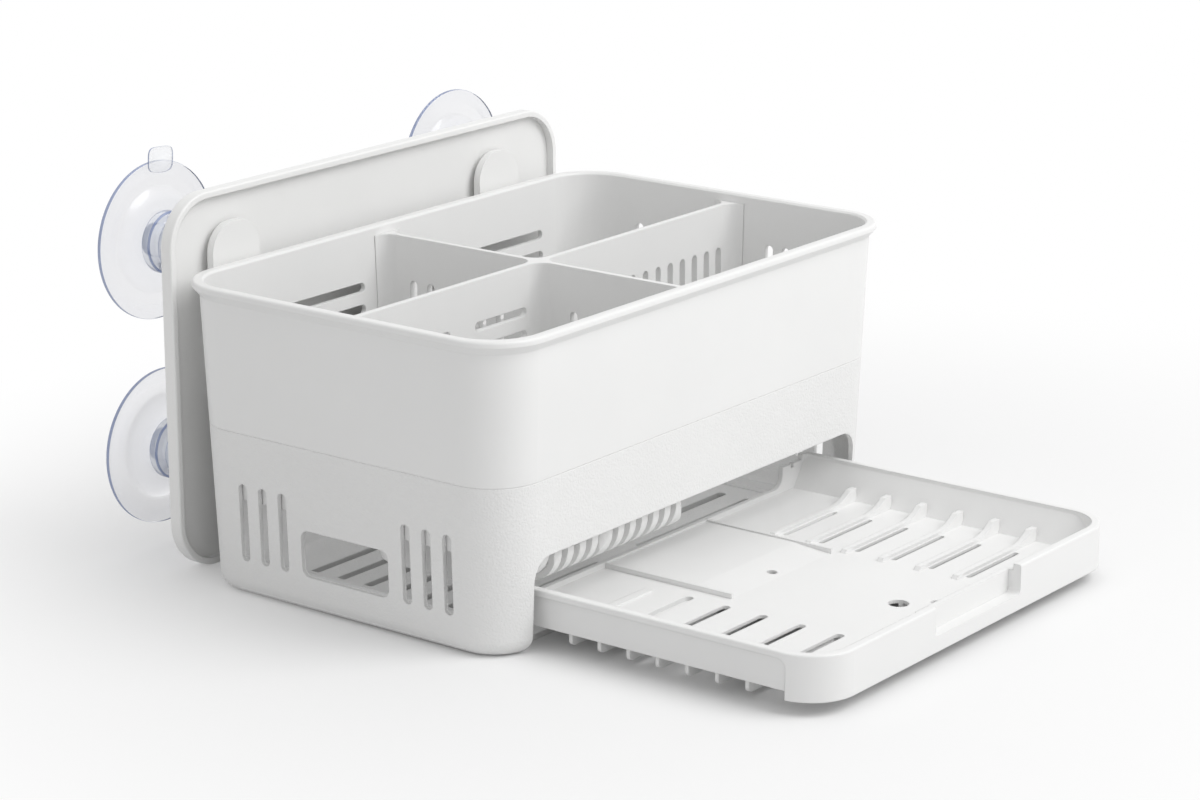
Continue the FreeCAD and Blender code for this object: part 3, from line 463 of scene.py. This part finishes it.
def new_material(name):
    """A material whose node tree is empty."""
    material = bpy.data.materials.new(name)
    material.use_nodes = True
    return material, Graph(material.node_tree)


def paint_glow_inside(graph, place, settings):
    """Painted light: a soft grey glow on what faces the inside of the base, and black elsewhere."""
    parts = graph.node("ShaderNodeSeparateXYZ", {}, {"Vector": place})
    above = graph.ramp(parts["Z"], settings.inner_floor - settings.floor_fade, settings.inner_floor)
    past = {}
    for axis, limit in zip("XY", settings.inner_size):
        reach = graph.math("ABSOLUTE", parts[axis])
        past[axis] = graph.math("MAXIMUM", reach - (limit - settings.inner_corner))
    spot = graph.node("ShaderNodeCombineXYZ", {}, past)["Vector"]
    reach = graph.node("ShaderNodeVectorMath", {"operation": "LENGTH"}, {"Vector": spot})["Value"]
    inside = above * graph.ramp(reach, settings.inner_corner, settings.inner_corner - settings.wall_fade)
    return graph.mix(inside, BLACK, grey(settings.painted_inner_glow))


def pebbles(graph, place, settings):
    """The height of the base's grain: soft pebbles with a finer grain on them."""
    cells = graph.node("ShaderNodeTexVoronoi", {"feature": "SMOOTH_F1"},
                       {"Vector": place, "Scale": 1 / settings.grain_size, "Smoothness": 0.6})["Distance"]
    return (1 - cells) + graph.noise(place, settings.grain_size / 2) * settings.grain_fine


def moulded_plastic(name, tone, settings, grained=False):
    """White moulded plastic: faint clouds in its colour, a ripple or a grain, and softly rounded edges; on the
    grained base, painted light glows grey on the inside.
    """
    material, graph = new_material(name)
    place = graph.node("ShaderNodeTexCoord")["Object"]
    clouds = graph.noise(place, settings.cloud_size, detail=3.0)
    base = graph.mix(clouds, colour(tone, 1 - settings.cloud_share), colour(tone, 1 + settings.cloud_share))
    if grained:
        height = pebbles(graph, place, settings)
        depth = settings.grain_depth
        roughness = settings.grain_roughness
        # Painted light: the base's inside glows through Emission Color.
        glow = {"Emission Color": paint_glow_inside(graph, place, settings), "Emission Strength": 1.0}
    else:
        height = graph.noise(place, settings.ripple_size, detail=3.0, roughness=0.6)
        depth = settings.ripple_depth
        roughness = settings.satin_roughness
        glow = {}
    edge = graph.node("ShaderNodeBevel", {"samples": 6}, {"Radius": settings.edge_round})["Normal"]
    normal = graph.node("ShaderNodeBump", {}, {"Strength": 1.0, "Distance": depth, "Height": height,
                                               "Normal": edge})["Normal"]
    gloss = roughness - settings.gloss_swing / 2 + clouds * settings.gloss_swing
    shader = graph.node("ShaderNodeBsdfPrincipled", {},
                        {"Base Color": base, "Roughness": gloss, "IOR": settings.refraction,
                         "Normal": normal, **glow})["BSDF"]
    graph.node("ShaderNodeOutputMaterial", {}, {"Surface": shader})
    return material


def clear_plastic(name, settings):
    """Clear flexible plastic that turns blue-violet through its depth."""
    material, graph = new_material(name)
    place = graph.node("ShaderNodeTexCoord")["Object"]
    wave = graph.noise(place, settings.wave_size)
    normal = graph.node("ShaderNodeBump", {}, {"Strength": 1.0, "Distance": settings.wave_depth,
                                               "Height": wave})["Normal"]
    gloss = settings.roughness + wave * settings.gloss_swing
    shader = graph.node("ShaderNodeBsdfPrincipled", {},
                        {"Base Color": colour(settings.clear_colour), "Roughness": gloss,
                         "IOR": settings.refraction, "Transmission Weight": 1.0, "Normal": normal,
                         "Coat Weight": settings.coat, "Coat Roughness": settings.coat_roughness})["BSDF"]
    depth = graph.node("ShaderNodeVolumeAbsorption", {},
                       {"Color": colour(settings.tint), "Density": settings.tint_density})["Volume"]
    graph.node("ShaderNodeOutputMaterial", {}, {"Surface": shader, "Volume": depth})
    return material


def thin_plastic(name, tone, cover, settings):
    """The same plastic as a thin film, or seen along its edges where its tint gathers."""
    material, graph = new_material(name)
    place = graph.node("ShaderNodeTexCoord")["Object"]
    wave = graph.noise(place, settings.wave_size)
    mottled = graph.mix(wave, colour(tone, 1 - settings.mottle), colour(tone, 1 + settings.mottle))
    shader = graph.node("ShaderNodeBsdfPrincipled", {},
                        {"Base Color": mottled, "Roughness": settings.film_roughness,
                         "IOR": settings.film_refraction, "Alpha": cover})["BSDF"]
    graph.node("ShaderNodeOutputMaterial", {}, {"Surface": shader})
    return material


def node_object(name):
    """A solid of the frame, by its name."""
    if name not in frame["nodes"]:
        raise RuntimeError("the frame has no piece named " + name)
    return frame["nodes"][name]


def dress(name, material):
    """Gives a solid of the frame its finish."""
    piece = node_object(name)
    piece.data.materials.clear()
    piece.data.materials.append(material)


def add_object(name, data):
    """A new object of some data in the scene."""
    made = bpy.data.objects.new(name, data)
    bpy.context.scene.collection.objects.link(made)
    return made


def mesh_object(name, mesh, materials):
    """A new object of a finished bmesh."""
    data = bpy.data.meshes.new(name)
    mesh.to_mesh(data)
    mesh.free()
    for material in materials:
        data.materials.append(material)
    return add_object(name, data)


def arc_points(centre, start, end, steps):
    """Points on a circular arc from one point to another, the short way round."""
    first = math.atan2(start.y - centre.y, start.x - centre.x)
    last = math.atan2(end.y - centre.y, end.x - centre.x)
    turn = (last - first + math.pi) % math.tau - math.pi
    reach = (start - centre).length
    angles = [first + turn * step / steps for step in range(steps + 1)]
    return [centre + Vector((math.cos(angle), math.sin(angle))) * reach for angle in angles]


def rounded_corners(points, radius, steps=6):
    """An open outline whose inner corners are rounded where their sides leave room."""
    points = [Vector(point) for point in points]
    outline = [points[0]]
    for before, corner, after in zip(points, points[1:], points[2:]):
        back = before - corner
        ahead = after - corner
        opening = back.angle(ahead)
        room = min(back.length, ahead.length) * CORNER_SHARE
        reach = min(radius / math.tan(opening / 2), room)
        start = corner + back.normalized() * reach
        end = corner + ahead.normalized() * reach
        middle = (back.normalized() + ahead.normalized()).normalized()
        centre = corner + middle * (reach / math.cos(opening / 2))
        outline += arc_points(centre, start, end, steps)
    return outline + [points[-1]]


def smooth_step(share):
    """An easing from 0 to 1."""
    return share * share * (3 - 2 * share)


def neck_outline(cup):
    """The stem's head, the stem, the collar, the waist and the hub, as radius and depth."""
    head_back = cup.head_width - cup.stem_depth
    hub_back = CUP_LENGTH - cup.dish_depth
    hub_front = hub_back - cup.hub_width
    collar_back = hub_front - cup.waist_width
    collar_front = collar_back - cup.collar_width
    corners = [
        (0, -cup.stem_depth), (cup.head_radius, -cup.stem_depth), (cup.head_radius, head_back),
        (cup.stem_radius, head_back), (cup.stem_radius, cup.socket_reach),
        (cup.waist_radius, cup.socket_reach), (cup.waist_radius, collar_front),
        (cup.collar_radius, collar_front), (cup.collar_radius, collar_back),
        (cup.waist_radius, collar_back), (cup.waist_radius, hub_front),
        (cup.hub_radius, hub_front), (cup.hub_radius, hub_back),
        (cup.hub_radius - cup.corner, hub_back + cup.corner),
    ]
    return rounded_corners(corners, cup.corner)


def dish_outline(cup, start):
    """The outside of the dish: the bell that bends out from the hub, the flat and the rim with its face."""
    flat = CUP_LENGTH - cup.flat_depth
    bell = []
    for step in range(1, cup.curve_steps + 1):
        share = step / cup.curve_steps
        radius = start.x + (cup.bell_radius - start.x) * share
        bell.append(Vector((radius, start.y + (flat - start.y) * share * share)))
    rim = [(cup.bell_radius + cup.rim, flat), (cup.radius, CUP_LENGTH - cup.rim),
           (cup.radius, CUP_LENGTH), (cup.radius - cup.face_width, CUP_LENGTH)]
    return bell + rounded_corners(rim, cup.lip_round)


def hollow_outline(cup):
    """The hollow of the dish, from the rim to the nub in its middle."""
    hollow = []
    for step in range(cup.curve_steps + 1):
        radius = (cup.radius - cup.hollow_edge) * (1 - step / cup.curve_steps)
        if radius < cup.nub_radius:
            break
        rise = cup.hollow_rise * smooth_step(max(0, 1 - radius / cup.bell_radius))
        hollow.append(Vector((radius, CUP_LENGTH - cup.hollow_depth - rise)))
    end = CUP_LENGTH - cup.nub_gap
    nub = [(cup.nub_radius, hollow[-1].y), (cup.nub_radius, end), (0, end)]
    return hollow + [Vector(point) for point in nub]


def cup_outline(cup):
    """The cup's half section, from the stem's end over the rim to the middle of the dish."""
    neck = neck_outline(cup)
    return neck + dish_outline(cup, neck[-1]) + hollow_outline(cup)


def part_of_cup(low, high, cup):
    """The material of a stretch of the outline."""
    radius = (low.x + high.x) / 2
    rise = abs(high.y - low.y)
    run = abs(high.x - low.x)
    close = cup.corner / 3
    if rise > run and any(abs(radius - side) < close for side in (cup.radius, cup.nub_radius)):
        return EDGE
    slanted = min(rise, run) > max(rise, run) * SLANT
    if slanted and any(side - cup.corner < radius < side for side in (cup.hub_radius, cup.collar_radius)):
        return EDGE
    on_neck = max(low.y, high.y) < CUP_LENGTH - cup.dish_depth
    return RINGS if on_neck and radius > cup.stem_radius else CLEAR


def turned(mesh, outline, cup):
    """Turns a half section about the Y axis into a closed skin with the materials of its parts."""
    angles = [math.tau * step / cup.steps for step in range(cup.steps)]
    rings = []
    for point in outline:
        if point.x < ON_AXIS:
            rings.append([mesh.verts.new((0, point.y, 0))])
        else:
            rings.append([mesh.verts.new((point.x * math.cos(angle), point.y, point.x * math.sin(angle)))
                          for angle in angles])
    for index, (low, high) in enumerate(zip(rings, rings[1:])):
        kind = part_of_cup(outline[index], outline[index + 1], cup)
        for step in range(cup.steps):
            after = step + 1
            corners = [low[step % len(low)], low[after % len(low)],
                       high[after % len(high)], high[step % len(high)]]
            face = mesh.faces.new(list(dict.fromkeys(corners)))
            face.material_index = kind


def signed_power(value, power):
    """A power of a value's size with the value's sign."""
    return math.copysign(abs(value) ** power, value)


def tab_loop(mesh, cup, depth, inset):
    """The tab's rounded outline at a depth, drawn in by an inset."""
    half_width = cup.tab_width / 2 - inset
    half_length = (cup.tab_reach + cup.tab_root) / 2 - inset
    middle = cup.radius + (cup.tab_reach - cup.tab_root) / 2
    loop = []
    for step in range(cup.tab_steps):
        angle = math.tau * step / cup.tab_steps
        across = cup.tab_end_power if math.cos(angle) > 0 else cup.tab_root_power
        x = middle + signed_power(math.cos(angle), cup.tab_length_power) * half_length
        z = signed_power(math.sin(angle), across) * half_width
        loop.append(mesh.verts.new((x, depth, z)))
    return loop


def pull_tab(mesh, cup):
    """A rounded tab that lies over the dish's edge and stands out past the rim."""
    back = CUP_LENGTH - cup.rim - cup.tab_crown
    front = back - cup.tab_thickness
    levels = ((front, cup.tab_crown), (front + cup.tab_crown, 0),
              (back - cup.tab_crown, 0), (back, cup.tab_crown))
    loops = [tab_loop(mesh, cup, depth, inset) for depth, inset in levels]
    for low, high in zip(loops, loops[1:]):
        for step in range(cup.tab_steps):
            after = (step + 1) % cup.tab_steps
            face = mesh.faces.new((low[step], low[after], high[after], high[step]))
            face.material_index = EDGE if low is loops[1] else FILM
    mesh.faces.new(loops[0][::-1]).material_index = FILM
    mesh.faces.new(loops[-1]).material_index = FILM


class CADDY_OT_dress_bin(bpy.types.Operator):
    """Gives the bin its smooth satin plastic"""

    bl_idname = "caddy.dress_bin"
    bl_label = "Finish the bin"

    def execute(self, context):
        finish = context.scene.caddy_finish
        dress("storage_bin", moulded_plastic("bin_satin_plastic", finish.bin_colour, finish))
        return {"FINISHED"}


class CADDY_OT_dress_divider(bpy.types.Operator):
    """Gives the lift-out divider its smooth satin plastic"""

    bl_idname = "caddy.dress_divider"
    bl_label = "Finish the divider"

    def execute(self, context):
        finish = context.scene.caddy_finish
        dress("cross_divider", moulded_plastic("divider_satin_plastic", finish.bin_colour, finish))
        return {"FINISHED"}


class CADDY_OT_dress_base(bpy.types.Operator):
    """Gives the base its pebble-grained plastic and a painted glow on its inside"""

    bl_idname = "caddy.dress_base"
    bl_label = "Finish the base"

    def execute(self, context):
        finish = context.scene.caddy_finish
        plastic = moulded_plastic("base_grained_plastic", finish.base_colour, finish, grained=True)
        dress("base_shell", plastic)
        return {"FINISHED"}


class CADDY_OT_dress_tray(bpy.types.Operator):
    """Gives the drip tray its satin plastic"""

    bl_idname = "caddy.dress_tray"
    bl_label = "Finish the drip tray"

    def execute(self, context):
        finish = context.scene.caddy_finish
        dress("drip_tray", moulded_plastic("tray_satin_plastic", finish.tray_colour, finish))
        return {"FINISHED"}


class CADDY_OT_dress_plate(bpy.types.Operator):
    """Gives the wall plate its satin plastic"""

    bl_idname = "caddy.dress_plate"
    bl_label = "Finish the wall plate"

    def execute(self, context):
        finish = context.scene.caddy_finish
        dress("wall_plate", moulded_plastic("plate_satin_plastic", finish.plate_colour, finish))
        return {"FINISHED"}


class CADDY_OT_turn_cups(bpy.types.Operator):
    """Turns the four clear suction cups with their pull tabs"""

    bl_idname = "caddy.turn_cups"
    bl_label = "Turn the suction cups"

    def execute(self, context):
        cup = context.scene.caddy_cups
        materials = [clear_plastic("cup_clear_plastic", cup),
                     thin_plastic("cup_tinted_edge", cup.edge_colour, cup.edge_cover, cup),
                     thin_plastic("cup_film", cup.film_colour, cup.film_cover, cup),
                     thin_plastic("cup_rings", cup.ring_colour, cup.ring_cover, cup)]
        outline = cup_outline(cup)
        for corner, angle in TAB_ANGLES.items():
            mesh = bmesh.new()
            turned(mesh, outline, cup)
            pull_tab(mesh, cup)
            turn = Matrix.Rotation(-math.radians(angle), 4, "Y")
            place = Matrix.Translation(joint_place("cup_" + corner + "_turn"))
            bmesh.ops.transform(mesh, matrix=place @ turn, verts=mesh.verts)
            bmesh.ops.recalc_face_normals(mesh, faces=mesh.faces)
            piece = mesh_object("clear_cup_" + corner, mesh, materials)
            piece.data.shade_smooth()
            piece.data.set_sharp_from_angle(angle=SHARP_ANGLE)
            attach(piece, "cup_" + corner)
            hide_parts("suction_cup_" + corner)
        return {"FINISHED"}


def add_camera(stage):
    """The camera at the photograph's viewing angle."""
    side = Vector((math.cos(stage.azimuth), math.sin(stage.azimuth), 0))
    level = math.cos(stage.elevation)
    back = Vector((math.sin(stage.azimuth) * level, -math.cos(stage.azimuth) * level,
                   math.sin(stage.elevation)))
    camera = add_object("camera", bpy.data.cameras.new("camera"))
    camera.data.sensor_fit = "HORIZONTAL"
    camera.data.sensor_width = stage.sensor
    camera.data.lens = stage.focal_pixels / stage.picture_width * stage.sensor
    turn = Matrix((side, back.cross(side), back)).transposed().to_4x4()
    camera.matrix_world = Matrix.Translation(Vector(stage.eye)) @ turn
    bpy.context.scene.camera = camera


def add_light(stage):
    """One large soft key light that looks at the caddy's middle."""
    light = bpy.data.lights.new("key_light", "AREA")
    light.shape = "DISK"
    light.size = stage.key_size
    light.energy = stage.key_power
    lamp = add_object("key_light", light)
    lamp.location = stage.key_place
    middle = (cad_box[0] + cad_box[1]) / 2
    lamp.rotation_euler = (Vector(stage.key_place) - middle).to_track_quat("Z", "Y").to_euler()


def straight_view(graph):
    """1 for what the camera sees, also through or reflected in clear and glossy pieces."""
    rays = graph.node("ShaderNodeLightPath")
    seen = rays["Is Camera Ray"] + rays["Is Glossy Ray"] + rays["Is Transmission Ray"]
    return graph.node("ShaderNodeClamp", {}, {"Value": seen})["Result"]


def add_world(stage):
    """An even white surround, dimmer where it lights the caddy than where it is seen."""
    world = bpy.data.worlds.new("studio")
    world.use_nodes = True
    bpy.context.scene.world = world
    graph = Graph(world.node_tree)
    strength = stage.ambient + straight_view(graph) * (1 - stage.ambient)
    surround = graph.node("ShaderNodeBackground", {}, {"Color": WHITE, "Strength": strength})["Background"]
    graph.node("ShaderNodeOutputWorld", {}, {"Surface": surround})


def floor_material(stage):
    """A pale matte that keeps the caddy's shadow and fades into white."""
    material, graph = new_material("pale_floor")
    place = graph.node("ShaderNodeTexCoord")["Object"]
    reach = graph.node("ShaderNodeVectorMath", {"operation": "DISTANCE"},
                       {0: place, 1: stage.fade_place})["Value"]
    fade = graph.ramp(reach, stage.fade_start, stage.fade_end)
    seen = straight_view(graph)
    tone = graph.mix(seen, grey(stage.floor_colour), grey(stage.floor_seen))
    matte = graph.node("ShaderNodeBsdfDiffuse", {}, {"Color": tone})["BSDF"]
    white = graph.node("ShaderNodeEmission", {}, {"Color": WHITE, "Strength": 1.0})["Emission"]
    share = seen * (stage.floor_glow + fade * (1 - stage.floor_glow))
    shader = graph.node("ShaderNodeMixShader", {}, {"Fac": share, 1: matte, 2: white})["Shader"]
    graph.node("ShaderNodeOutputMaterial", {}, {"Surface": shader})
    return material


def add_floor(stage):
    """A round floor under the caddy."""
    mesh = bmesh.new()
    bmesh.ops.create_circle(mesh, cap_ends=True, segments=stage.floor_steps, radius=stage.floor_radius)
    mesh_object("floor", mesh, [floor_material(stage)])


class CADDY_OT_set_stage(bpy.types.Operator):
    """Sets the camera, the light, the surround and the floor"""

    bl_idname = "caddy.set_stage"
    bl_label = "Set the stage"

    def execute(self, context):
        stage = context.scene.caddy_stage
        add_camera(stage)
        add_light(stage)
        add_world(stage)
        add_floor(stage)
        context.scene.view_settings.view_transform = "Standard"
        return {"FINISHED"}


STEPS = (CADDY_OT_dress_bin, CADDY_OT_dress_divider, CADDY_OT_dress_base, CADDY_OT_dress_tray,
         CADDY_OT_dress_plate, CADDY_OT_turn_cups, CADDY_OT_set_stage)


class CADDY_PT_panel(bpy.types.Panel):
    """Lists the caddy's steps and settings"""

    bl_idname = "CADDY_PT_panel"
    bl_label = "Kitchen sink caddy"
    bl_space_type = "VIEW_3D"
    bl_region_type = "UI"
    bl_category = "Caddy"

    def draw(self, context):
        for step in STEPS:
            self.layout.operator(step.bl_idname)
        for settings in (context.scene.caddy_finish, context.scene.caddy_cups, context.scene.caddy_stage):
            box = self.layout.box()
            for name in settings.__annotations__:
                box.prop(settings, name)


CLASSES = (CaddyFinishSettings, CaddyCupSettings, CaddyStageSettings) + STEPS + (CADDY_PT_panel,)


def register():
    """Registers the classes and puts the settings on the scene."""
    for kind in CLASSES:
        bpy.utils.register_class(kind)
    bpy.types.Scene.caddy_finish = PointerProperty(type=CaddyFinishSettings)
    bpy.types.Scene.caddy_cups = PointerProperty(type=CaddyCupSettings)
    bpy.types.Scene.caddy_stage = PointerProperty(type=CaddyStageSettings)


def unregister():
    """Takes the settings off the scene and the classes away."""
    del bpy.types.Scene.caddy_stage
    del bpy.types.Scene.caddy_cups
    del bpy.types.Scene.caddy_finish
    for kind in reversed(CLASSES):
        bpy.utils.unregister_class(kind)


def main():
    """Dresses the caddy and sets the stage."""
    register()
    bpy.ops.caddy.dress_bin()
    bpy.ops.caddy.dress_divider()
    bpy.ops.caddy.dress_base()
    bpy.ops.caddy.dress_tray()
    bpy.ops.caddy.dress_plate()
    bpy.ops.caddy.turn_cups()
    bpy.ops.caddy.set_stage()


if __name__ == "__main__":
    main()
